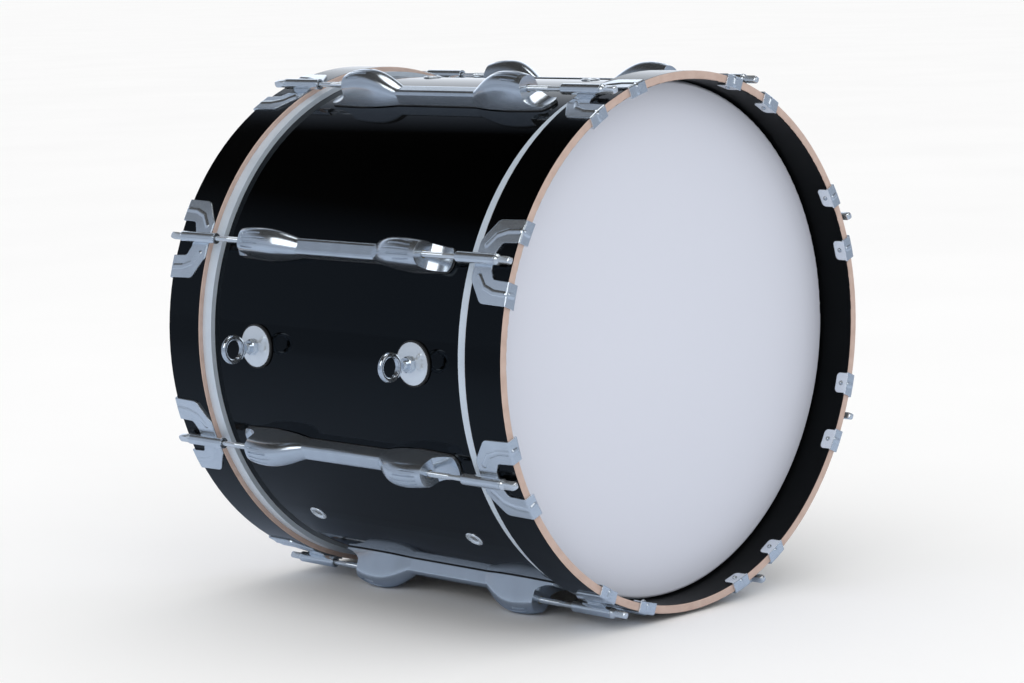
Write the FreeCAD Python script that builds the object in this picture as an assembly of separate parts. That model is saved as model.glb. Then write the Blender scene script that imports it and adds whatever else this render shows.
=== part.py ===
import FreeCAD, Part
import math
import os

# Marching bass drum. Millimetres. +Z is up, the drum's axis lies along Y, the front head faces -Y,
# and the origin is the middle of the shell on that axis. The carrier side, with the eye bolts, is -X.
# Repeated pieces are drawn once at the top of the drum, on the front half, and turned into place.

V = FreeCAD.Vector
AXIS = V(0, 1, 0)
RADIAL = V(0, 0, 1)
GAP = 0.05                      # clearance between pieces that rest against each other
past = 5.0                      # how far a cutting tool runs beyond the material it cuts

# Shell
shell_length = 355.6
shell_radius = 228.6
shell_wall = 7.5
shell_bore = shell_radius - shell_wall
half_length = shell_length / 2
edge_round = 2.0
hole_play = 0.2                 # how much wider, in radius, a hole in the shell is than its bolt

# Heads: a plastic film held in an aluminium flesh hoop
film = 0.3
film_plane = half_length + GAP
film_corner = 2.6
skirt_inner = shell_radius + 0.35
skirt_outer = skirt_inner + film
flesh_top = 169.6
flesh_height = 11.5
flesh_outer = 233.5
flesh_inner = skirt_inner - 0.15
channel_depth = 6.5
channel_mouth = 1.0

# Wooden hoops
hoop_outer = 238.0
hoop_wall = 7.4
hoop_inner = hoop_outer - hoop_wall
hoop_face = 212.2
hoop_round = 1.2

# Lugs: a bar between two bulbs. Each bulb station is (distance from the middle, half-width, crown).
lug_count = 8
first_lug_angle = 67.5
lug_step = 360.0 / lug_count
gasket = 0.8
lug_foot = shell_radius + gasket
lug_root = shell_radius - 4.0
rod_circle = 244.7
bar_crown = 242.6
bar_half_width = 7.4
bar_reach = 52.0
bar_fillet = 3.6
bulb_crown = 259.6
bulb_stations = ((36.0, 6.4, 239.0), (48.0, 7.4, 242.8), (58.0, 9.4, 249.2), (68.0, 11.0, 255.0),
                 (79.0, 11.9, 258.8), (91.0, 12.1, bulb_crown), (105.0, 11.8, 257.9),
                 (119.0, 11.0, 253.6), (138.0, 10.2, 246.0))
bulb_half_width = 13.0
arch_start = 0.60
arch_power = 0.80
arch_points = 12
draft = 1.03
ring_face = 114.0
ring_radius = 5.2
ring_below = 6.5
foot_end = 136.0
foot_corner = 11.0
toe_height = 2.6
hollow_run = 0.30
hollow_rise = 0.28
dish_radius = 10.5
dish_length = 22.0
dish_fall = 0.12
groove_radius = 0.9
groove_depth = 0.8
groove_fan = 19.0
groove_lengths = (22.0, 30.0, 38.0, 30.0, 22.0)
groove_fall = 2.5
cavity_width = 12.6
cavity_start = 70.0
cavity_end = 110.0
cavity_top = 251.2
rod_hole = 3.5
lug_screw_offset = 30.0
lug_screw_radius = 2.3
lug_screw_length = 8.5
lug_screw_head = 4.6
washer_radius = 6.0
washer = 1.1

# Tension rods and the nuts they turn in
thread_radius = 2.70
shank_radius = 2.30
thread_start = 84.0
thread_end = 139.0
rod_shoulder = 199.2
flange_radius = 4.8
flange_thickness = 3.0
key_across = 6.0
rod_tip = 215.4
nut_inner_end = 92.0
nut_radius = 4.0
collar_radius = 5.8
collar = 3.5
retainer_radius = 5.6
retainer_bore = 3.5
retainer_split = 1.6

# Claws, and the small screws that pin them to the hoop
sheet = 1.7
tube_radius = 4.9
tube_bore = 3.1
tube_start = 154.5
tube_end = 199.0
neck_width = 6.4
neck_end = 189.5
arm_inner = 17.0
arm_outer = 37.4
arm_shoulder = 184.5
arm_toe = 17.0
arm_back = flesh_top + 0.8
arm_round = 7.0
crotch_depth = 191.0
crotch_half_width = 7.5
tab_depth = 11.0
tab_margin = 0.9
bead_radius = 4.4
bead_height = 0.9
bead_path = ((13.0, 178.5), (22.5, 186.5), (26.5, 198.0))
claw_screw_y = 207.0
claw_screw_radius = 1.2
claw_screw_reach = 5.0
claw_screw_head = 2.3

# Eye bolts
eye_y = 100.4
eye_angle = 180.0
eye_centre = 256.8
eye_wire = 2.5
eye_ring = 10.6
eye_hole = 8.6
eye_shank = 3.95
eye_neck = 9.0
eye_touch = 38.0
eye_inner_end = shell_bore - 11.5
plate_radius = 18.5
plate_height = 3.4
plate_edge = 0.8
plate_recess = 0.5
plate_recess_radius = 7.2
plate_gasket_radius = 20.0
plate_gasket = 1.6
eye_nut_across = 12.6
jam_nut_height = 5.6
backing_radius = 12.0
backing = 1.6
backing_nut_height = 6.4

# Vents
vent_angles = (90.0, 225.0)
vent_flange = 8.5
vent_lip = 1.3
vent_tube = 5.5
vent_bore = 4.5
vent_flare = 7.5
vent_flare_height = 0.9
vent_lead = 1.6

parts = {}


def ring(outer, inner, y_low, y_high):
    """A plain ring round the drum's axis."""
    start = V(0, y_low, 0)
    length = y_high - y_low
    return Part.makeCylinder(outer, length, start, AXIS).cut(Part.makeCylinder(inner, length, start, AXIS))


def turned(points):
    """A solid of revolution round the drum's axis, from (radius, y) corners."""
    corners = [V(r, y, 0) for r, y in points]
    outline = Part.makePolygon(corners + [corners[0]])
    return Part.Face(outline).revolve(V(0, 0, 0), AXIS, 360)


def stud(radius, low, high, y):
    """A cylinder standing along the local radial direction."""
    return Part.makeCylinder(radius, high - low, V(0, y, low), RADIAL)


def along(radius, y_low, y_high, z=rod_circle):
    """A cylinder lying parallel to the drum's axis."""
    return Part.makeCylinder(radius, y_high - y_low, V(0, y_low, z), AXIS)


def hexagon(across_flats, low, high, y, bore):
    """A hexagonal nut standing along the local radial direction, with its corners turned off."""
    corner = across_flats / math.sqrt(3)
    points = [V(corner * math.cos(math.radians(60 * k)), y + corner * math.sin(math.radians(60 * k)), low)
              for k in range(7)]
    height = high - low
    body = Part.Face(Part.makePolygon(points)).extrude(V(0, 0, height))
    face_circle = across_flats / 2 * 0.97
    body = body.common(Part.makeCone(face_circle + height, face_circle, height, V(0, y, low), RADIAL))
    return body.cut(stud(bore, low - past, high + past, y))


def placed(shape, angle, rear=False):
    """Turn a front-half piece drawn at the top round to an angle from +X, on either half."""
    moved = shape.copy()
    if rear:
        moved.rotate(V(0, 0, 0), RADIAL, 180)
    moved.rotate(V(0, 0, 0), AXIS, 90 - angle)
    return moved


def rounded_outline(points):
    """A closed flat outline from (x, y, corner radius) points, with each corner rounded by its radius."""
    count = len(points)
    edges = []
    ends = []
    for k in range(count):
        before = V(points[k - 1][0], points[k - 1][1], 0)
        here = V(points[k][0], points[k][1], 0)
        after = V(points[(k + 1) % count][0], points[(k + 1) % count][1], 0)
        radius = points[k][2]
        to_before = (before - here).normalize()
        to_after = (after - here).normalize()
        half = to_before.getAngle(to_after) / 2
        if radius <= 0:
            ends.append((here, here))
            continue
        run = radius / math.tan(half)
        start = here + to_before * run
        stop = here + to_after * run
        bisector = (to_before + to_after).normalize()
        middle = here + bisector * (radius / math.sin(half) - radius)
        edges.append(Part.Arc(start, middle, stop).toShape())
        ends.append((start, stop))
    for k in range(count):
        start = ends[k][1]
        stop = ends[(k + 1) % count][0]
        if (stop - start).Length > 1e-6:
            edges.append(Part.LineSegment(start, stop).toShape())
    return Part.Face(Part.Wire(Part.__sortEdges__(edges)))


# Shell ------------------------------------------------------------------------------------------

def lug_angles():
    return [first_lug_angle - lug_step * k for k in range(lug_count)]


def wall_hole(radius, y):
    """A tool that drills through the shell's wall."""
    return stud(radius, shell_bore - past, shell_radius + past, y)


def seat_inside(radius):
    """How far out a flat washer of this radius sits against the shell's curved inner face."""
    return math.sqrt(shell_bore ** 2 - radius ** 2) - GAP


def make_shell():
    """Plywood tube: 45 degree cut inside each bearing edge, and a small round outside it."""
    crest = shell_radius - edge_round
    slope_foot = half_length - (crest - shell_bore)
    bevel = edge_round * (1 - math.sqrt(0.5))
    end = [(shell_bore, slope_foot), (crest, half_length),
           (shell_radius - bevel, half_length - bevel), (shell_radius, half_length - edge_round)]
    other_end = [(r, -y) for r, y in reversed(end)]
    shell = turned(end + other_end)
    for angle in lug_angles():
        for y in (-lug_screw_offset, lug_screw_offset):
            shell = shell.cut(placed(wall_hole(lug_screw_radius + hole_play, y), angle))
    for y in (-eye_y, eye_y):
        shell = shell.cut(placed(wall_hole(eye_shank + hole_play, y), eye_angle))
        for angle in vent_angles:
            shell = shell.cut(placed(wall_hole(vent_tube + GAP, y), angle))
    return shell


# Heads and hoops (front half) -------------------------------------------------------------------

def cup(radius, corner, face, low):
    """A round block with its front corner rounded."""
    block = Part.makeCylinder(radius, low - face, V(0, face, 0), AXIS)
    rim = [e for e in block.Edges if e.BoundBox.YMax < face + GAP]
    return block.makeFillet(corner, rim)


def make_film():
    """Flat membrane over the bearing edge, turned down outside the shell into the flesh hoop's channel."""
    low = -(flesh_top - channel_depth)
    outside = cup(skirt_outer, film_corner + film, -(film_plane + film), low)
    inside = cup(skirt_inner, film_corner, -film_plane, low + past)
    return outside.cut(inside)


def make_flesh_hoop():
    """Aluminium hoop with a channel that grips the edge of the film."""
    body = ring(flesh_outer, flesh_inner, -flesh_top, -(flesh_top - flesh_height))
    channel_floor = -(flesh_top - channel_depth - GAP)
    channel = ring(skirt_outer + GAP, skirt_inner - GAP, -flesh_top - past, channel_floor)
    mouth = ring(skirt_inner, flesh_inner - past, -flesh_top - past, -flesh_top + channel_mouth)
    return body.cut(channel).cut(mouth)


def make_hoop():
    """Bent plywood hoop with softened edges. It presses on the flesh hoop."""
    body = ring(hoop_outer, hoop_inner, -hoop_face, -(flesh_top + GAP))
    circles = [e for e in body.Edges if e.BoundBox.YLength < GAP]
    body = body.makeFillet(hoop_round, circles)
    for angle in lug_angles():
        for side in (-1, 1):
            pilot = stud(claw_screw_radius + GAP, hoop_inner - past,
                         hoop_inner + claw_screw_reach + GAP, -claw_screw_y)
            body = body.cut(placed(beside(pilot, side), angle))
    return body


# Lugs -------------------------------------------------------------------------------------------

def lug_section(y, half_width, crown):
    """One arched cross-section of the lug casting: upright sides under a squarish arch."""
    spring_line = lug_root + (crown - lug_root) * arch_start
    rise = crown - spring_line
    points = []
    for k in range(arch_points + 1):
        a = math.pi * k / arch_points
        across = math.copysign(abs(math.cos(a)) ** arch_power, math.cos(a))
        points.append(V(half_width * across, y, spring_line + rise * math.sin(a) ** arch_power))
    arch = Part.BSplineCurve()
    arch.interpolate(points)
    base_right = V(half_width * draft, y, lug_root)
    base_left = V(-half_width * draft, y, lug_root)
    right = Part.LineSegment(base_right, points[0]).toShape()
    left = Part.LineSegment(points[-1], base_left).toShape()
    base = Part.LineSegment(base_left, base_right).toShape()
    return Part.Wire([base, right, arch.toShape(), left])


def end_cutter():
    """A tool that leaves a flat face round the rod hole and a hollow curve from it down to the toe."""
    clear_above = bulb_crown + past
    clear_below = lug_root - past
    clear_beyond = -foot_end - bulb_half_width
    toe = V(0, -foot_end, lug_foot + toe_height)
    corner = V(0, -ring_face, rod_circle - ring_below)
    middle = V(0, -(ring_face + (foot_end - ring_face) * hollow_run),
               toe.z + (corner.z - toe.z) * hollow_rise)
    top = V(0, -(ring_face - 2.0), clear_above)
    edges = [Part.LineSegment(top, corner).toShape(), Part.Arc(corner, middle, toe).toShape()]
    corners = [toe, V(0, -foot_end, clear_below), V(0, clear_beyond, clear_below),
               V(0, clear_beyond, clear_above), top]
    for start, stop in zip(corners, corners[1:]):
        edges.append(Part.LineSegment(start, stop).toShape())
    cutter = Part.Face(Part.Wire(edges)).extrude(V(4 * bulb_half_width, 0, 0))
    cutter.translate(V(-2 * bulb_half_width, 0, 0))
    return cutter


def make_bulb():
    """One streamlined end of the lug, over the front half, with a rounded foot dished under the rod."""
    wires = [lug_section(-y, half_width, crown) for y, half_width, crown in bulb_stations]
    bulb = Part.makeLoft(wires, True, False).cut(end_cutter())
    inner_end = -bulb_stations[0][0]
    plan = rounded_outline([(bulb_half_width, inner_end, 0), (-bulb_half_width, inner_end, 0),
                            (-bulb_half_width, -foot_end, foot_corner),
                            (bulb_half_width, -foot_end, foot_corner)])
    plan.translate(V(0, 0, lug_root))
    bulb = bulb.common(plan.extrude(V(0, 0, bulb_crown)))
    dish = Part.makeCone(ring_radius, dish_radius, dish_length, V(0, -ring_face - 1, rod_circle),
                         V(0, -1, -dish_fall))
    return bulb.cut(dish)


def make_grooves():
    """Fanned grooves along the crown of a bulb, the middle one longest."""
    grooves = []
    longest = max(groove_lengths)
    start = -(ring_face - 7.0)
    crest = bulb_crown + groove_radius - groove_depth
    ends = crest - groove_fall
    crown_point = V(0, start + longest * 0.42, crest)
    path = Part.Arc(V(0, start, ends), crown_point, V(0, start + longest, ends)).toShape()
    profile = Part.Wire(Part.makeCircle(groove_radius, V(0, start, ends), AXIS))
    groove = Part.Wire(path).makePipeShell([profile], True, False)
    for k, length in enumerate(groove_lengths):
        run = Part.makeBox(2 * bulb_half_width, length, bulb_crown,
                           V(-bulb_half_width, start - past, rod_circle))
        tool = groove.common(run)
        tool.rotate(V(0, 0, rod_circle + 1), AXIS, groove_fan * (k - 2))
        grooves.append(tool)
    return grooves


def cavity_box(width):
    """The hollow under a bulb, open at the foot."""
    return Part.makeBox(width, cavity_end - cavity_start, cavity_top - lug_root,
                        V(-width / 2, -cavity_end, lug_root))


def make_lug():
    """Double-ended casting: a round-edged bar between two bulbs, hollow under each bulb for its nut."""
    bar = Part.makeBox(2 * bar_half_width, 2 * bar_reach, bar_crown - lug_root,
                       V(-bar_half_width, -bar_reach, lug_root))
    long_edges = [e for e in bar.Edges if e.BoundBox.YLength > bar_reach and e.BoundBox.ZMin > shell_radius]
    bar = bar.makeFillet(bar_fillet, long_edges)
    front = make_bulb()
    for groove in make_grooves():
        front = front.cut(groove)
    lug = bar.fuse([front, placed(front, 90, True)]).removeSplitter()
    lug = lug.cut(Part.makeCylinder(lug_foot, 4 * foot_end, V(0, -2 * foot_end, 0), AXIS))
    for rear in (False, True):
        lug = lug.cut(placed(cavity_box(cavity_width), 90, rear))
        lug = lug.cut(placed(along(rod_hole, -ring_face - past, -cavity_end + 1), 90, rear))
        screw_hole = stud(lug_screw_radius + GAP, lug_root, shell_radius + lug_screw_length + 1,
                          -lug_screw_offset)
        lug = lug.cut(placed(screw_hole, 90, rear))
    return lug


def lug_footprint(margin):
    """Flat outline of the lug's foot, grown by a margin, for the gasket."""
    quarter = [(11.0 + margin, foot_end + margin, 9.5), (12.7 + margin, 92.0, 20.0),
               (bar_half_width + margin, 50.0, 8.0)]
    points = []
    for sx, sy in ((1, 1), (1, -1), (-1, -1), (-1, 1)):
        corners = quarter if sx == sy else quarter[::-1]
        points += [(sx * x, sy * y, r) for x, y, r in corners]
    return rounded_outline(points)


def make_lug_gasket():
    """Thin sheet between the lug and the shell."""
    outline = lug_footprint(0.5)
    outline.translate(V(0, 0, lug_root))
    block = outline.extrude(V(0, 0, 2 * past))
    body = block.common(ring(lug_foot - GAP / 2, shell_radius + GAP / 2, -foot_end - past, foot_end + past))
    for rear in (False, True):
        body = body.cut(placed(wall_hole(lug_screw_radius + hole_play, -lug_screw_offset), 90, rear))
        body = body.cut(placed(cavity_box(cavity_width), 90, rear))
    return body


def make_swivel_nut():
    """Flanged barrel nut that takes the tension rod. Its collar bears on the lug's end wall."""
    start = -cavity_end + GAP
    nut = along(nut_radius, start, -nut_inner_end).fuse(along(collar_radius, start, start + collar))
    return nut.cut(along(thread_radius + GAP, start - past, -nut_inner_end + past)).removeSplitter()


def make_nut_retainer():
    """Split nylon sleeve that keeps the swivel nut against the end wall and stops it rattling."""
    start = -nut_inner_end + GAP
    stop = -cavity_start - GAP
    sleeve = along(retainer_radius, start, stop).cut(along(retainer_bore, start - past, stop + past))
    split = Part.makeBox(retainer_split, stop - start + 2 * past, 2 * retainer_radius,
                         V(-retainer_split / 2, start - past, rod_circle - 2 * retainer_radius))
    return sleeve.cut(split)


def round_head_screw(radius, seat, tip, head, slot, y):
    """A slotted round-head screw driven outwards, its head under the seat."""
    height = head * 0.7
    dome = (head ** 2 + height ** 2) / (2 * height)
    cap = Part.makeSphere(dome, V(0, y, seat - height + dome)).common(stud(head, seat - height, seat, y))
    cut = Part.makeBox(4 * head, slot, slot, V(-2 * head, y - slot / 2, seat - height))
    return stud(radius, seat - GAP, tip, y).fuse(cap).cut(cut).removeSplitter()


def make_lug_screw(y):
    """Machine screw from inside the shell into the lug's bar."""
    seat = seat_inside(washer_radius) - washer - GAP
    return round_head_screw(lug_screw_radius, seat, shell_radius + lug_screw_length, lug_screw_head, 1.2, y)


def make_lug_screw_washer(y):
    top = seat_inside(washer_radius)
    return stud(washer_radius, top - washer, top, y).cut(wall_hole(lug_screw_radius + hole_play, y))


# Tension rods -----------------------------------------------------------------------------------

def make_rod():
    """Tension rod: thread at the nut end, thinner shank, flange and square key head outside the claw."""
    outwards = V(0, -1, 0)
    half_key = key_across / 2
    flange_end = rod_shoulder + flange_thickness / 2
    lead = Part.makeCone(thread_radius / 2, thread_radius, thread_radius / 2,
                         V(0, -thread_start, rod_circle), outwards)
    thread = along(thread_radius, -thread_end, -thread_start - thread_radius / 2)
    shank = along(shank_radius, -rod_shoulder - 1, -thread_end + 1)
    flange = along(flange_radius, -flange_end, -rod_shoulder)
    taper = Part.makeCone(flange_radius, half_key, flange_thickness / 2,
                          V(0, -flange_end, rod_circle), outwards)
    key = Part.makeBox(key_across, rod_tip - rod_shoulder - 1, key_across,
                       V(-half_key, -rod_tip, rod_circle - half_key))
    point = Part.makeCone(half_key * 0.9, key_across, half_key, V(0, -rod_tip, rod_circle), AXIS)
    key = key.common(point.fuse(along(key_across, -rod_tip + half_key, -rod_shoulder)))
    return thread.fuse([lead, shank, flange, taper, key]).removeSplitter()


# Claws ------------------------------------------------------------------------------------------

def claw_screw_x():
    return (arm_inner + arm_outer) / 2


def beside(shape, side):
    """Turn a piece drawn on a claw's centre line round to one of its two tabs."""
    moved = shape.copy()
    moved.rotate(V(0, 0, 0), AXIS, side * math.degrees(claw_screw_x() / hoop_inner))
    return moved


def on_hoop(x, y, radius):
    """The point at arc position x and depth y on a cylinder round the drum's axis."""
    a = x / hoop_outer
    return V(radius * math.sin(a), y, radius * math.cos(a))


def bead(points):
    """A round ridge through a list of points."""
    pieces = [Part.makeSphere(bead_radius, p) for p in points]
    for start, stop in zip(points, points[1:]):
        run = stop - start
        pieces.append(Part.makeCylinder(bead_radius, run.Length, start, run))
    return pieces[0].fuse(pieces[1:])


def claw_plan(front):
    """Flat outline of the claw's two arms, reaching past the hoop's edge."""
    edge = -front - past
    right_half = [(arm_outer, edge, 0), (arm_outer - 1, -arm_shoulder, arm_round),
                  (arm_toe, -arm_back, arm_round)]
    left_half = [(-x, y, r) for x, y, r in reversed(right_half)]
    right_crotch = [(crotch_half_width, -crotch_depth, 2.0), (arm_inner - 1, -crotch_depth - 4.5, 4.0),
                    (arm_inner, edge, 0)]
    left_crotch = [(-x, y, r) for x, y, r in reversed(right_crotch)]
    plan = rounded_outline(right_half + left_half + left_crotch + right_crotch)
    plan.translate(V(0, 0, lug_root))
    return plan


def make_claw():
    """Double claw pressed from one sheet: rolled tube, two beaded arms, and a hook over the hoop's edge."""
    skin = hoop_outer + GAP
    outer = skin + sheet
    lining = hoop_inner - GAP
    face = hoop_face + GAP
    front = face + sheet
    folded = turned([(outer, -arm_back), (outer, -front), (lining - sheet, -front), (lining - sheet, -face),
                     (skin, -face), (skin, -arm_back)])
    fold = [e for e in folded.Edges if e.BoundBox.YMax < -front + GAP and e.BoundBox.ZMax > hoop_outer]
    folded = folded.makeFillet(sheet - 2 * GAP, fold)
    claw = claw_plan(front).extrude(V(0, 0, 2 * (rod_circle - lug_root))).common(folded)
    half = (arm_outer - arm_inner) / 2 - tab_margin
    tab_end = -(hoop_face - tab_depth)
    crest = outer + bead_height - bead_radius
    rim_crest = -(front + bead_height - bead_radius)
    for side in (-1, 1):
        middle = side * claw_screw_x()
        tab = rounded_outline([(middle - half, -front, 0), (middle + half, -front, 0),
                               (middle + half, tab_end, 4.0), (middle - half, tab_end, 4.0)])
        tab.translate(V(0, 0, shell_bore - past))
        tab = tab.extrude(V(0, 0, 4 * past)).common(ring(lining, lining - sheet, -front, tab_end))
        path = [on_hoop(side * x, -y, crest) for x, y in bead_path]
        path += [on_hoop(middle, rim_crest, crest), on_hoop(middle, rim_crest, hoop_inner + 1.5)]
        claw = claw.fuse([tab, bead(path)])
    hoop_space = ring(skin, lining, -face, -arm_back + 2 * past)
    inner_clear = Part.makeCylinder(lining - sheet, 10 * past, V(0, -front - past, 0), AXIS)
    claw = claw.cut(hoop_space).cut(inner_clear)
    tube = along(tube_radius, -tube_end, -tube_start)
    neck = Part.makeBox(neck_width, neck_end - arm_back, rod_circle - skin,
                        V(-neck_width / 2, -neck_end, skin - 0.5))
    neck = neck.common(ring(rod_circle + past, skin, -front, -arm_back))
    claw = claw.fuse([tube, neck]).cut(along(tube_bore, -tube_end - past, -tube_start + past))
    hole = stud(claw_screw_radius + hole_play, lining - past, hoop_inner + GAP, -claw_screw_y)
    for side in (-1, 1):
        claw = claw.cut(beside(hole, side))
    return claw


def make_claw_screw(side):
    """Small wood screw that pins a claw's tab to the inside of the hoop."""
    seat = hoop_inner - GAP - sheet - GAP
    screw = round_head_screw(claw_screw_radius, seat, hoop_inner + claw_screw_reach, claw_screw_head, 0.6,
                             -claw_screw_y)
    return beside(screw, side)


# Eye bolts --------------------------------------------------------------------------------------

def plate_seat():
    return shell_radius + plate_gasket


def nut_seat():
    """The jam nut sits in a shallow recess in the top of the plate."""
    return plate_seat() + plate_height - plate_recess


def make_eye_bolt(y):
    """Carrier eye bolt. The eye stands in a plane square to the drum's axis."""
    eye = Part.makeTorus(eye_ring, eye_wire, V(0, y, eye_centre), AXIS)
    neck = plate_seat() + plate_height + eye_neck
    reach = eye_ring + eye_wire * 0.6
    side = reach * math.cos(math.radians(eye_touch))
    drop = reach * math.sin(math.radians(eye_touch))
    web_half = eye_wire * 0.8
    shoulder = eye_shank * 0.8
    back = y - web_half
    points = [V(side, back, eye_centre - drop), V(shoulder, back, neck), V(-shoulder, back, neck),
              V(-side, back, eye_centre - drop)]
    web = Part.Face(Part.makePolygon(points + [points[0]])).extrude(V(0, 2 * web_half, 0))
    shank = stud(eye_shank, eye_inner_end, neck + 1, y)
    opening = Part.makeCylinder(eye_hole, 2 * past, V(0, y - past, eye_centre), AXIS)
    return eye.fuse([web, shank]).cut(opening).removeSplitter()


def make_eye_plate(y):
    """Domed plate under the eye bolt's nut."""
    seat = plate_seat()
    rise = plate_height - plate_edge
    dome = (plate_radius ** 2 + rise ** 2) / (2 * rise)
    cap = Part.makeSphere(dome, V(0, y, seat + plate_height - dome))
    cap = cap.common(stud(plate_radius, seat + GAP, seat + plate_height + past, y))
    cap = cap.cut(stud(plate_recess_radius, nut_seat(), nut_seat() + past, y))
    return cap.cut(stud(eye_shank + GAP, seat - past, seat + 2 * past, y))


def make_eye_gasket(y):
    """Rubber washer, flat outside and curved to the shell inside."""
    block = stud(plate_gasket_radius, shell_radius - past, plate_seat(), y)
    block = block.cut(Part.makeCylinder(shell_radius + GAP / 2, shell_length, V(0, -half_length, 0), AXIS))
    return block.cut(stud(eye_shank + hole_play, shell_radius - past, plate_seat() + past, y))


def make_jam_nut(y):
    low = nut_seat() + GAP
    return hexagon(eye_nut_across, low, low + jam_nut_height, y, eye_shank + GAP)


def make_backing_washer(y):
    top = seat_inside(backing_radius)
    return stud(backing_radius, top - backing, top, y).cut(wall_hole(eye_shank + hole_play, y))


def make_backing_nut(y):
    """The nut inside the shell, its crown facing the drum's axis."""
    top = seat_inside(backing_radius) - backing - GAP
    nut = hexagon(eye_nut_across, -top, -top + backing_nut_height, -y, eye_shank + GAP)
    nut.rotate(V(0, 0, 0), V(1, 0, 0), 180)
    return nut


# Vents ------------------------------------------------------------------------------------------

def make_vent(y):
    """Eyelet that lines the vent hole. The tube is flared over inside the shell."""
    inner = seat_inside(vent_flare)
    outer = shell_radius + GAP
    crown = vent_flange - vent_lip
    tube = stud(vent_tube, inner - vent_flare_height, outer + vent_lip / 2, y)
    lip = Part.makeTorus(crown, vent_lip, V(0, y, outer), RADIAL)
    lip = lip.common(stud(vent_flange + past, outer, outer + past, y))
    web = stud(crown, outer, outer + vent_lip, y)
    flare = stud(vent_flare, inner - vent_flare_height, inner, y)
    bore = stud(vent_bore, inner - past, outer + past, y)
    lead = Part.makeCone(vent_bore, vent_bore + vent_lead, vent_lead, V(0, y, outer - hole_play), RADIAL)
    return tube.fuse([lip, web, flare]).cut(bore).cut(lead).removeSplitter()


# Assembly ---------------------------------------------------------------------------------------

def round_the_drum(shape, rear=False):
    return [placed(shape, angle, rear) for angle in lug_angles()]


def both_halves(make, angles):
    """Pieces that sit at the same distance either side of the middle."""
    return Part.makeCompound([placed(make(y), angle) for angle in angles for y in (-eye_y, eye_y)])


def half(name, rear):
    """The pieces that move with one hoop."""
    parts[name + "_hoop"] = placed(make_hoop(), 90, rear)
    parts[name + "_head_film"] = placed(make_film(), 90, rear)
    parts[name + "_flesh_hoop"] = placed(make_flesh_hoop(), 90, rear)
    parts[name + "_claws"] = Part.makeCompound(round_the_drum(make_claw(), rear))
    screws = [s for side in (-1, 1) for s in round_the_drum(make_claw_screw(side), rear)]
    parts[name + "_claw_screws"] = Part.makeCompound(screws)
    for number, rod in enumerate(round_the_drum(make_rod(), rear), 1):
        parts[name + "_rod_" + str(number)] = rod


def nuts_in_lugs(piece):
    return Part.makeCompound(round_the_drum(piece) + round_the_drum(piece, True))


def lug_fixings(make):
    """Pieces on the two screws that hold each lug."""
    rows = (-lug_screw_offset, lug_screw_offset)
    return Part.makeCompound([s for y in rows for s in round_the_drum(make(y))])


parts["shell"] = make_shell()
half("front", False)
half("rear", True)
for number, casting in enumerate(round_the_drum(make_lug()), 1):
    parts["lug_" + str(number)] = casting
parts["lug_gaskets"] = Part.makeCompound(round_the_drum(make_lug_gasket()))
parts["swivel_nuts"] = nuts_in_lugs(make_swivel_nut())
parts["nut_retainers"] = nuts_in_lugs(make_nut_retainer())
parts["lug_screws"] = lug_fixings(make_lug_screw)
parts["lug_screw_washers"] = lug_fixings(make_lug_screw_washer)
parts["front_eye_bolt"] = placed(make_eye_bolt(-eye_y), eye_angle)
parts["rear_eye_bolt"] = placed(make_eye_bolt(eye_y), eye_angle)
parts["eye_plates"] = both_halves(make_eye_plate, (eye_angle,))
parts["eye_gaskets"] = both_halves(make_eye_gasket, (eye_angle,))
parts["eye_jam_nuts"] = both_halves(make_jam_nut, (eye_angle,))
parts["eye_backing_washers"] = both_halves(make_backing_washer, (eye_angle,))
parts["eye_backing_nuts"] = both_halves(make_backing_nut, (eye_angle,))
parts["vent_eyelets"] = both_halves(make_vent, vent_angles)

os.makedirs("parts", exist_ok=True)
for node, shape in parts.items():
    shape.exportStep("parts/" + node + ".step")
    volume = sum(s.Volume for s in shape.Solids)
    print(node, "solids", len(shape.Solids), "valid", shape.isValid(), "volume %.0f" % volume)
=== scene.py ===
import math
import bpy
from mathutils import Matrix, Vector


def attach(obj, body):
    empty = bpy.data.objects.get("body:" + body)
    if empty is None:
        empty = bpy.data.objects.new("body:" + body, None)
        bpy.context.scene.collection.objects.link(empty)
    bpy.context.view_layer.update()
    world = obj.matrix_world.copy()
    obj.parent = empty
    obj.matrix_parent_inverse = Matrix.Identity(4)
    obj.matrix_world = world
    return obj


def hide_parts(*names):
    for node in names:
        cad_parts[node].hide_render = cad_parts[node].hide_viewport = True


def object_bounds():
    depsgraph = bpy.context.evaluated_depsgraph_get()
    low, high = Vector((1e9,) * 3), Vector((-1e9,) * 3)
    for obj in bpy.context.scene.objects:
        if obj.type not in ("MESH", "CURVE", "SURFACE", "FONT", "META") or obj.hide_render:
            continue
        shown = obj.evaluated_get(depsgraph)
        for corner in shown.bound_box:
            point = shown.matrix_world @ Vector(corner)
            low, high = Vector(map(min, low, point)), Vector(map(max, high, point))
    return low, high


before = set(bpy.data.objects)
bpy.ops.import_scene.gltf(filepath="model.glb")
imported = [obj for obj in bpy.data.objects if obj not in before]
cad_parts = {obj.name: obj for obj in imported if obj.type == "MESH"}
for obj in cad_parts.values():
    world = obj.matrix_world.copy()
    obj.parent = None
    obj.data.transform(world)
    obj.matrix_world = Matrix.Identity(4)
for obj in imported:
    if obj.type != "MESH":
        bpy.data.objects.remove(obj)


def overall_box():
    """The object's lowest and highest corners, as plain lists."""
    low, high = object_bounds()
    return [list(low), list(high)]


box_at_start = overall_box()

# Camera
CAMERA_AZIMUTH = math.radians(-45.87)
CAMERA_ELEVATION = math.radians(7.47)
CAMERA_ROLL = math.radians(-1.40)
CAMERA_DISTANCE = 2.720
CAMERA_AIM_RIGHT = -0.0033
CAMERA_AIM_UP = -0.0138
CAMERA_LENS = 103.36
CAMERA_SENSOR = 36.0

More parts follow.
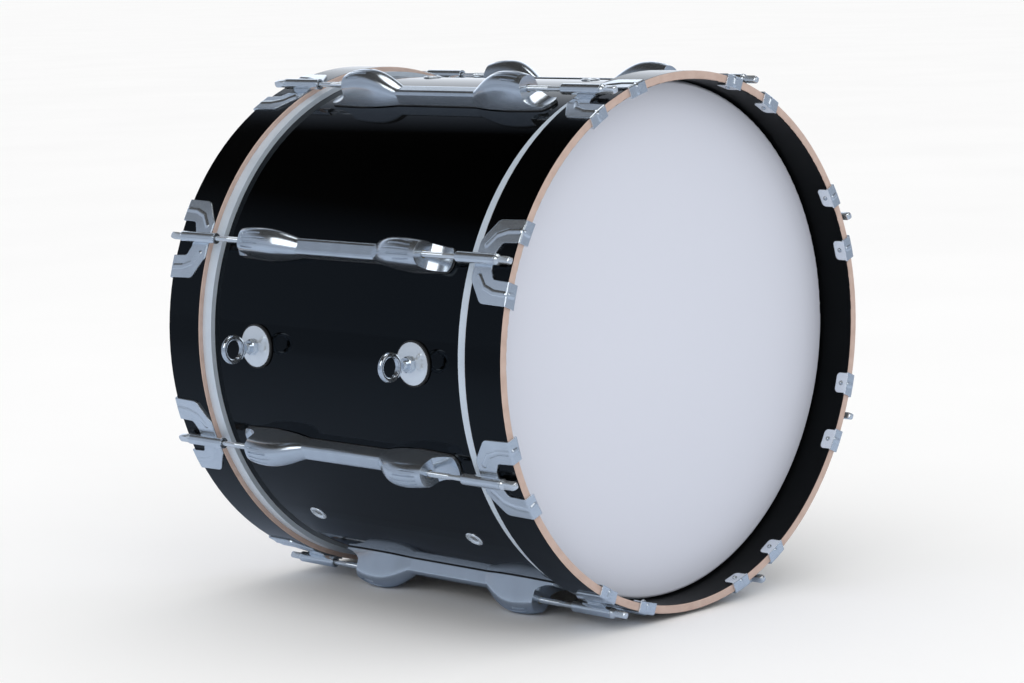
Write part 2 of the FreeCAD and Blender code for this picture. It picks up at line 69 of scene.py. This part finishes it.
# Floor
FLOOR_REACH = 80.0
# Distance over which the floor's painted shade, seen only in reflections, falls off.
FLOOR_SHADE_FALLOFF = 3.0

# Hoops
HOOP_RADIUS = 0.238
HOOP_FACE = 0.2122
HOOP_BACK = 0.1696
BARE_EDGE = 0.0007
PLY = 0.00105
HATCH = 0.0011

# Tension rods. A rod's head is listed as (distance past the shoulder, radius, how square it is).
LUG_COUNT = 8
FIRST_LUG_ANGLE = 67.5
ROD_CIRCLE = 0.2447
ROD_SIDES = 24
NOSE_RADIUS = 0.0018
THREAD_PITCH = 0.0010583
THREAD_START = 0.0840
THREAD_END = 0.1375
THREAD_LEAD = 0.0006
THREAD_RUNOUT = 0.0016
THREAD_RADIUS = 0.0027
THREAD_CORE = 0.00225
RINGS_PER_TURN = 8
SHANK_RADIUS = 0.0023
SHOULDER = 0.1992
FLANGE_RADIUS = 0.0048
FLANGE_EDGE = 0.0003
KEY_HALF = 0.0030
KEY_CORNER = 1.30
KEY_LENGTH = 0.0162
SHARP_ANGLE = math.radians(40)
ROD_HEAD = ((0.0, FLANGE_RADIUS - FLANGE_EDGE, 0), (FLANGE_EDGE, FLANGE_RADIUS, 0),
            (0.0013, FLANGE_RADIUS, 0), (0.0018, FLANGE_RADIUS - FLANGE_EDGE, 0),
            (0.0030, KEY_HALF * 1.2, 0), (0.0036, KEY_HALF, 0), (0.0042, KEY_HALF, 1),
            (KEY_LENGTH - 0.0022, KEY_HALF, 1), (KEY_LENGTH - 0.0006, KEY_HALF * 0.86, 0.6),
            (KEY_LENGTH, KEY_HALF * 0.62, 0), (KEY_LENGTH, 0.0, 0))

# Colours
COOL = (0.94, 0.97, 1.0)
BLUE = (0.68, 0.80, 1.0)
PLATING = (0.88, 0.94, 1.0)
LACQUER_TINT = (0.70, 0.86, 1.0, 1.0)
WHITE_FILM = (0.66, 0.69, 0.785)

# Where the bright backdrop stands, as a direction from the drum
BACKDROP = Vector((0.72, 0.69, 0.08))


def add_camera():
    """Long lens to the front left of the drum, a little above it."""
    back = Vector((math.sin(CAMERA_AZIMUTH) * math.cos(CAMERA_ELEVATION),
                   -math.cos(CAMERA_AZIMUTH) * math.cos(CAMERA_ELEVATION),
                   math.sin(CAMERA_ELEVATION)))
    level = Vector((0, 0, 1)).cross(back).normalized()
    upright = back.cross(level)
    right = level * math.cos(CAMERA_ROLL) + upright * math.sin(CAMERA_ROLL)
    up = back.cross(right)
    place = back * CAMERA_DISTANCE + right * CAMERA_AIM_RIGHT + up * CAMERA_AIM_UP
    data = bpy.data.cameras.new("camera")
    data.lens = CAMERA_LENS
    data.sensor_width = CAMERA_SENSOR
    camera = bpy.data.objects.new("camera", data)
    axes = Matrix((right, up, back)).transposed().to_4x4()
    camera.matrix_world = Matrix.Translation(place) @ axes
    bpy.context.scene.collection.objects.link(camera)
    bpy.context.scene.camera = camera


# Materials ---------------------------------------------------------------------------------------

def new_material(name):
    """A material with its node tree, links and main shader."""
    material = bpy.data.materials.new(name)
    material.use_nodes = True
    tree = material.node_tree
    return material, tree.nodes, tree.links, tree.nodes["Principled BSDF"]


def noise_node(nodes, links, scale, detail=2.0):
    """Noise over the object's own coordinates."""
    coordinates = nodes.new("ShaderNodeTexCoord")
    noise = nodes.new("ShaderNodeTexNoise")
    noise.inputs["Scale"].default_value = scale
    noise.inputs["Detail"].default_value = detail
    links.new(coordinates.outputs["Object"], noise.inputs["Vector"])
    return noise.outputs["Fac"]


def math_node(nodes, links, operation, first, second=0.0):
    """One arithmetic step. Each input is a socket or a number."""
    node = nodes.new("ShaderNodeMath")
    node.operation = operation
    for socket, value in zip(node.inputs, (first, second)):
        if isinstance(value, (int, float)):
            socket.default_value = value
        else:
            links.new(value, socket)
    return node.outputs[0]


def drum_coordinates(nodes, links):
    """Radius from the drum's axis, length of arc round the hoop, and distance along the axis."""
    coordinates = nodes.new("ShaderNodeTexCoord")
    split = nodes.new("ShaderNodeSeparateXYZ")
    links.new(coordinates.outputs["Object"], split.inputs[0])
    x, y, z = split.outputs
    squares = math_node(nodes, links, "ADD", math_node(nodes, links, "MULTIPLY", x, x),
                        math_node(nodes, links, "MULTIPLY", z, z))
    radius = math_node(nodes, links, "SQRT", squares)
    arc = math_node(nodes, links, "MULTIPLY", math_node(nodes, links, "ARCTAN2", z, x), HOOP_RADIUS)
    return radius, arc, y


def stripes(nodes, links, source, pitch):
    """A smooth wave of one cycle per pitch, between 0 and 1."""
    turns = math_node(nodes, links, "MULTIPLY", source, 2 * math.pi / pitch)
    wave = math_node(nodes, links, "SINE", turns)
    return math_node(nodes, links, "ADD", math_node(nodes, links, "MULTIPLY", wave, 0.5), 0.5)


def ramp_node(nodes, links, source, stops):
    """Colours chosen by a value, from (value, colour) stops."""
    ramp = nodes.new("ShaderNodeValToRGB")
    while len(ramp.color_ramp.elements) < len(stops):
        ramp.color_ramp.elements.new(0.5)
    for element, (place, colour) in zip(ramp.color_ramp.elements, stops):
        element.position = place
        element.color = (*colour, 1.0)
    links.new(source, ramp.inputs["Fac"])
    return ramp.outputs["Color"]


def blend_colours(nodes, links, factor, first, second, mode="MIX"):
    """Blend two colours. The factor is a socket or a number."""
    mix = nodes.new("ShaderNodeMix")
    mix.data_type = "RGBA"
    mix.blend_type = mode
    if isinstance(factor, (int, float)):
        mix.inputs["Factor"].default_value = factor
    else:
        links.new(factor, mix.inputs["Factor"])
    for socket, colour in (("A", first), ("B", second)):
        slots = [i for i in mix.inputs if i.type == "RGBA" and i.name == socket]
        if isinstance(colour, tuple):
            slots[0].default_value = (*colour, 1.0)
        else:
            links.new(colour, slots[0])
    return [o for o in mix.outputs if o.type == "RGBA"][0]


def add_bump(nodes, links, shader, source, strength, distance, edge=0.0):
    """Surface relief, with sharp edges softened to the given radius."""
    bump = nodes.new("ShaderNodeBump")
    bump.inputs["Strength"].default_value = strength
    bump.inputs["Distance"].default_value = distance
    links.new(source, bump.inputs["Height"])
    if edge > 0:
        soft = nodes.new("ShaderNodeBevel")
        soft.samples = 4
        soft.inputs["Radius"].default_value = edge
        links.new(soft.outputs["Normal"], bump.inputs["Normal"])
    links.new(bump.outputs["Normal"], shader.inputs["Normal"])


def grey(value, tint=(1.0, 1.0, 1.0)):
    """One brightness of a tint."""
    return tuple(value * t for t in tint)


def chrome(name, level, roughness, metal, edge=0.0004):
    """Plated metal with a faint ripple. The less metal, the milkier the plating looks."""
    material, nodes, links, shader = new_material(name)
    shades = ramp_node(nodes, links, noise_node(nodes, links, 60.0),
                       [(0.3, grey(level * 0.93, PLATING)), (0.7, grey(level, PLATING))])
    links.new(shades, shader.inputs["Base Color"])
    shader.inputs["Metallic"].default_value = metal
    shader.inputs["Roughness"].default_value = roughness
    add_bump(nodes, links, shader, noise_node(nodes, links, 180.0), 0.02, 0.002, edge)
    return material


def lacquer(name, level, roughness, shine):
    """Black lacquer with a faint orange peel."""
    material, nodes, links, shader = new_material(name)
    shades = ramp_node(nodes, links, noise_node(nodes, links, 25.0),
                       [(0.3, grey(level * 0.7)), (0.7, grey(level))])
    links.new(shades, shader.inputs["Base Color"])
    shader.inputs["Roughness"].default_value = roughness
    shader.inputs["Specular IOR Level"].default_value = shine
    shader.inputs["Specular Tint"].default_value = LACQUER_TINT
    add_bump(nodes, links, shader, noise_node(nodes, links, 220.0), 0.01, 0.001)
    return material


def maple_shades(nodes, links):
    """Bare plywood edge: faint ply lines round the hoop, with short grain along them."""
    radius, _, _ = drum_coordinates(nodes, links)
    plies = stripes(nodes, links, radius, PLY)
    grain = noise_node(nodes, links, 90.0, 4.0)
    mixed = math_node(nodes, links, "ADD", math_node(nodes, links, "MULTIPLY", plies, 0.14),
                      math_node(nodes, links, "MULTIPLY", grain, 0.86))
    return ramp_node(nodes, links, mixed,
                     [(0.1, (0.42, 0.30, 0.25)), (0.5, (0.53, 0.40, 0.345)), (0.9, (0.60, 0.47, 0.415))])


def hoop_finish(name, level, roughness, shine):
    """Lacquered hoop whose two edges are bare maple, with a crisp line where the lacquer stops."""
    material, nodes, links, shader = new_material(name)
    _, _, along = drum_coordinates(nodes, links)
    distance = math_node(nodes, links, "ABSOLUTE", along)
    beyond = math_node(nodes, links, "GREATER_THAN", distance, HOOP_FACE - BARE_EDGE)
    before = math_node(nodes, links, "LESS_THAN", distance, HOOP_BACK + BARE_EDGE)
    bare = math_node(nodes, links, "ADD", beyond, before)
    black = ramp_node(nodes, links, noise_node(nodes, links, 25.0),
                      [(0.3, grey(level * 0.7)), (0.7, grey(level))])
    colour = blend_colours(nodes, links, bare, black, maple_shades(nodes, links))
    links.new(colour, shader.inputs["Base Color"])
    rougher = math_node(nodes, links, "MULTIPLY", bare, 0.45 - roughness)
    links.new(math_node(nodes, links, "ADD", rougher, roughness), shader.inputs["Roughness"])
    shader.inputs["Specular IOR Level"].default_value = shine
    shader.inputs["Specular Tint"].default_value = LACQUER_TINT
    add_bump(nodes, links, shader, noise_node(nodes, links, 220.0), 0.01, 0.001)
    return material


def head_film():
    """Smooth white film, a little darker in a band over the collar: painted shade where the head curves
    over the collar.
    """
    material, nodes, links, shader = new_material("head_film")
    radius, _, _ = drum_coordinates(nodes, links)
    cloud = math_node(nodes, links, "MULTIPLY", noise_node(nodes, links, 6.0), 0.004)
    place = math_node(nodes, links, "ADD", radius, cloud)
    scaled = math_node(nodes, links, "MULTIPLY", place, 1 / HOOP_RADIUS)
    # The darker stops towards the rim are painted shade over the collar, not a change in the film.
    shades = ramp_node(nodes, links, scaled,
                       [(0.0, WHITE_FILM), (0.86, grey(0.985, WHITE_FILM)), (0.925, grey(0.95, WHITE_FILM)),
                        (0.955, grey(0.88, WHITE_FILM))])
    links.new(shades, shader.inputs["Base Color"])
    shader.inputs["Roughness"].default_value = 0.42
    add_bump(nodes, links, shader, noise_node(nodes, links, 900.0), 0.03, 0.0002)
    return material


def satin_aluminium():
    """Flesh hoop metal with fine slanting tool marks."""
    material, nodes, links, shader = new_material("satin_aluminium")
    _, arc, along = drum_coordinates(nodes, links)
    hatch = stripes(nodes, links, math_node(nodes, links, "ADD", arc, along), HATCH)
    cloud = noise_node(nodes, links, 30.0)
    mixed = math_node(nodes, links, "ADD", math_node(nodes, links, "MULTIPLY", hatch, 0.5),
                      math_node(nodes, links, "MULTIPLY", cloud, 0.5))
    shades = ramp_node(nodes, links, mixed, [(0.25, (0.54, 0.62, 0.71)), (0.75, (0.74, 0.83, 0.93))])
    links.new(shades, shader.inputs["Base Color"])
    shader.inputs["Metallic"].default_value = 0.35
    shader.inputs["Roughness"].default_value = 0.32
    add_bump(nodes, links, shader, hatch, 0.2, 0.0002)
    return material


def plain(name, dark, light, roughness):
    """Matt rubber or plastic, slightly clouded."""
    material, nodes, links, shader = new_material(name)
    shades = ramp_node(nodes, links, noise_node(nodes, links, 60.0), [(0.3, dark), (0.7, light)])
    links.new(shades, shader.inputs["Base Color"])
    shader.inputs["Roughness"].default_value = roughness
    return material


def brass():
    """Bare brass of the swivel nuts."""
    material, nodes, links, shader = new_material("nut_brass")
    shades = ramp_node(nodes, links, noise_node(nodes, links, 120.0),
                       [(0.3, (0.62, 0.45, 0.20)), (0.7, (0.72, 0.54, 0.26))])
    links.new(shades, shader.inputs["Base Color"])
    shader.inputs["Metallic"].default_value = 1.0
    shader.inputs["Roughness"].default_value = 0.3
    return material


def paint(node, *materials):
    """Give a CAD piece its materials, in slot order."""
    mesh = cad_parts[node].data
    mesh.materials.clear()
    for material in materials:
        mesh.materials.append(material)


def paint_everything():
    """Every CAD piece gets its finish. The rods are left to add_rods."""
    shell = lacquer("shell_lacquer", level=0.0004, roughness=0.05, shine=0.23)
    hoop = hoop_finish("hoop_lacquer", level=0.0006, roughness=0.14, shine=0.23)
    lining = hoop_finish("hoop_lining", level=0.0025, roughness=0.42, shine=0.08)
    film = head_film()
    satin = satin_aluminium()
    lug = chrome("lug_chrome", level=0.90, roughness=0.19, metal=0.96)
    claw = chrome("claw_chrome", level=0.96, roughness=0.09, metal=0.92, edge=0.0010)
    plate = chrome("plate_chrome", level=0.98, roughness=0.10, metal=0.68)
    eye = chrome("eye_chrome", level=0.92, roughness=0.09, metal=0.95)
    steel = chrome("screw_steel", level=0.70, roughness=0.25, metal=0.9)
    rubber = plain("black_rubber", (0.012, 0.012, 0.013), (0.02, 0.02, 0.021), roughness=0.6)
    nylon = plain("nylon", (0.62, 0.61, 0.55), (0.70, 0.69, 0.63), roughness=0.5)
    finishes = {"shell": shell, "swivel_nuts": brass(), "nut_retainers": nylon, "lug_gaskets": rubber,
                "eye_gaskets": rubber, "front_head_film": film, "rear_head_film": film,
                "front_flesh_hoop": satin, "rear_flesh_hoop": satin, "front_claws": claw,
                "rear_claws": claw, "lug_screws": steel, "lug_screw_washers": steel,
                "front_claw_screws": steel, "rear_claw_screws": steel, "eye_backing_nuts": steel,
                "eye_backing_washers": steel, "eye_plates": plate, "vent_eyelets": plate}
    for name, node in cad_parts.items():
        if name in ("front_hoop", "rear_hoop"):
            paint(name, hoop, lining)
            for face in node.data.polygons:
                inwards = face.normal.x * face.center.x + face.normal.z * face.center.z < 0
                face.material_index = 1 if inwards and abs(face.normal.y) < 0.5 else 0
        elif name in finishes:
            paint(name, finishes[name])
        elif name.startswith("lug_"):
            paint(name, lug)
        elif "_rod_" not in name:
            paint(name, eye)


# Tension rods ------------------------------------------------------------------------------------

def rod_profile():
    """Rings along the rod, from nut end to key head: (distance, radius, thread share, square share)."""
    rings = [(THREAD_START, 0.0, 0, 0), (THREAD_START, NOSE_RADIUS, 0, 0)]
    length = THREAD_END - THREAD_START
    count = round(length / THREAD_PITCH * RINGS_PER_TURN)
    for k in range(count + 1):
        place = THREAD_START + THREAD_LEAD + length * k / count
        fade = min(1.0, k / RINGS_PER_TURN, (count - k) / RINGS_PER_TURN)
        rings.append((place, (THREAD_CORE + THREAD_RADIUS) / 2, fade, 0))
    rings += [(THREAD_END + THREAD_RUNOUT, SHANK_RADIUS, 0, 0), (SHOULDER, SHANK_RADIUS, 0, 0)]
    rings += [(SHOULDER + past, radius, 0, square) for past, radius, square in ROD_HEAD]
    return rings


def rod_mesh():
    """Rod along -Y at the top of the drum, with a real helical thread and a square key head."""
    vertices = []
    faces = []
    rings = rod_profile()
    for place, radius, thread, square in rings:
        for k in range(ROD_SIDES):
            angle = 2 * math.pi * k / ROD_SIDES
            turn = (place / THREAD_PITCH + k / ROD_SIDES) % 1.0
            ridge = (abs(turn - 0.5) * 4 - 1) * (THREAD_RADIUS - THREAD_CORE) / 2
            corner = min(1 / max(abs(math.cos(angle)), abs(math.sin(angle))), KEY_CORNER)
            reach = (radius + ridge * thread) * (1 + square * (corner - 1))
            vertices.append((reach * math.cos(angle), -place, ROD_CIRCLE + reach * math.sin(angle)))
    for ring in range(len(rings) - 1):
        for k in range(ROD_SIDES):
            a = ring * ROD_SIDES + k
            b = ring * ROD_SIDES + (k + 1) % ROD_SIDES
            faces.append((a, a + ROD_SIDES, b + ROD_SIDES, b))
    mesh = bpy.data.meshes.new("threaded_rod")
    mesh.from_pydata(vertices, [], faces)
    mesh.validate()
    mesh.shade_smooth()
    return mesh


def add_rods():
    """Sixteen threaded rods in place of the CAD's plain ones, each turning with its own body."""
    material = chrome("rod_chrome", level=0.95, roughness=0.15, metal=0.80, edge=0.0002)
    for side in ("front", "rear"):
        for number in range(1, LUG_COUNT + 1):
            angle = math.radians(FIRST_LUG_ANGLE - 360 / LUG_COUNT * (number - 1))
            place = Matrix.Rotation(math.pi / 2 - angle, 4, "Y")
            if side == "rear":
                place = place @ Matrix.Rotation(math.pi, 4, "Z")
            mesh = rod_mesh()
            mesh.transform(place)
            mesh.materials.append(material)
            name = side + "_rod_" + str(number)
            rod = bpy.data.objects.new("threaded_" + name, mesh)
            bpy.context.scene.collection.objects.link(rod)
            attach(rod, name)
            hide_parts(name)
            mesh.set_sharp_from_angle(angle=SHARP_ANGLE)


# Studio ------------------------------------------------------------------------------------------

def seen_in_reflection(nodes):
    """1 for light that arrives by way of a shiny surface, otherwise 0."""
    return nodes.new("ShaderNodeLightPath").outputs["Is Glossy Ray"]


def add_floor(height):
    """Pale floor. Reflections see it with painted shade: bluish, and dimmer with distance."""
    mesh = bpy.data.meshes.new("floor")
    corners = [(x, y, height) for x, y in
               ((-FLOOR_REACH, -FLOOR_REACH), (FLOOR_REACH, -FLOOR_REACH),
                (FLOOR_REACH, FLOOR_REACH), (-FLOOR_REACH, FLOOR_REACH))]
    mesh.from_pydata(corners, [], [(0, 1, 2, 3)])
    floor = bpy.data.objects.new("floor", mesh)
    material, nodes, links, shader = new_material("pale_floor")
    coordinates = nodes.new("ShaderNodeTexCoord")
    distance = nodes.new("ShaderNodeVectorMath")
    distance.operation = "LENGTH"
    links.new(coordinates.outputs["Object"], distance.inputs[0])
    near = math_node(nodes, links, "MULTIPLY", distance.outputs["Value"], 1 / FLOOR_SHADE_FALLOFF)
    # Painted shade and bluish tint that only reflections see, darker further from the drum.
    reflected_floor_shade = ramp_node(nodes, links, near, [(0.13, grey(0.60, BLUE)), (0.7, grey(0.38, BLUE))])
    cloud = ramp_node(nodes, links, noise_node(nodes, links, 2.0), [(0.3, grey(0.95)), (0.7, grey(0.97))])
    colour = blend_colours(nodes, links, seen_in_reflection(nodes), cloud, reflected_floor_shade)
    links.new(colour, shader.inputs["Base Color"])
    shader.inputs["Roughness"].default_value = 0.9
    shader.inputs["Specular IOR Level"].default_value = 0.0
    floor.data.materials.append(material)
    bpy.context.scene.collection.objects.link(floor)


def aimed_at_drum(thing, place):
    """Stand a light or a panel somewhere, facing the drum."""
    thing.location = place
    thing.rotation_euler = (-Vector(place)).to_track_quat("-Z", "Y").to_euler()
    bpy.context.scene.collection.objects.link(thing)


def add_softbox(name, place, width, height, strength):
    """A lit panel that shows only in reflections."""
    mesh = bpy.data.meshes.new(name)
    mesh.from_pydata([(-width / 2, -height / 2, 0), (width / 2, -height / 2, 0),
                      (width / 2, height / 2, 0), (-width / 2, height / 2, 0)], [], [(0, 1, 2, 3)])
    panel = bpy.data.objects.new(name, mesh)
    material = bpy.data.materials.new(name)
    material.use_nodes = True
    nodes = material.node_tree.nodes
    nodes.clear()
    emission = nodes.new("ShaderNodeEmission")
    emission.inputs["Color"].default_value = (*COOL, 1.0)
    emission.inputs["Strength"].default_value = strength
    output = nodes.new("ShaderNodeOutputMaterial")
    material.node_tree.links.new(emission.outputs[0], output.inputs["Surface"])
    mesh.materials.append(material)
    panel.visible_camera = False
    panel.visible_diffuse = False
    panel.visible_shadow = False
    aimed_at_drum(panel, place)


def add_key(place, size, power):
    """Soft square light that reflections do not see."""
    data = bpy.data.lights.new("key", "AREA")
    data.shape = "SQUARE"
    data.size = size
    data.energy = power
    light = bpy.data.objects.new("key", data)
    light.visible_glossy = False
    aimed_at_drum(light, place)


def add_world():
    """White all round. Reflections see a bluish room, dark overhead, with a bright backdrop."""
    world = bpy.data.worlds.new("studio")
    world.use_nodes = True
    nodes = world.node_tree.nodes
    links = world.node_tree.links
    background = nodes["Background"]
    coordinates = nodes.new("ShaderNodeTexCoord")
    split = nodes.new("ShaderNodeSeparateXYZ")
    links.new(coordinates.outputs["Generated"], split.inputs[0])
    half_height = math_node(nodes, links, "MULTIPLY", split.outputs["Z"], 0.5)
    height = math_node(nodes, links, "ADD", half_height, 0.5)
    room = ramp_node(nodes, links, height, [(0.50, grey(0.44, BLUE)), (0.68, grey(0.38, BLUE)),
                                            (0.80, grey(0.02)), (0.86, grey(0.0))])
    towards = nodes.new("ShaderNodeVectorMath")
    towards.operation = "DOT_PRODUCT"
    links.new(coordinates.outputs["Generated"], towards.inputs[0])
    towards.inputs[1].default_value = BACKDROP
    backdrop = ramp_node(nodes, links, towards.outputs["Value"],
                         [(0.68, grey(0.0)), (0.82, grey(0.35, BLUE)), (0.97, grey(1.0, COOL))])
    reflected = blend_colours(nodes, links, 1.0, room, backdrop, "ADD")
    colour = blend_colours(nodes, links, seen_in_reflection(nodes), grey(1.0), reflected)
    links.new(colour, background.inputs["Color"])
    bpy.context.scene.world = world


paint_everything()
add_rods()
add_floor(box_at_start[0][2])
add_world()
add_key((-1.6, -2.6, 2.6), size=1.8, power=12.0)
add_softbox("overhead_panel", (0.3, -0.3, 2.4), width=1.6, height=1.2, strength=1.8)
add_softbox("left_panel", (-2.4, -0.9, 1.4), width=1.9, height=1.4, strength=1.9)
add_softbox("front_panel", (0.6, -3.2, 1.2), width=1.2, height=1.6, strength=1.2)
bpy.context.scene.view_settings.view_transform = "Standard"
add_camera()
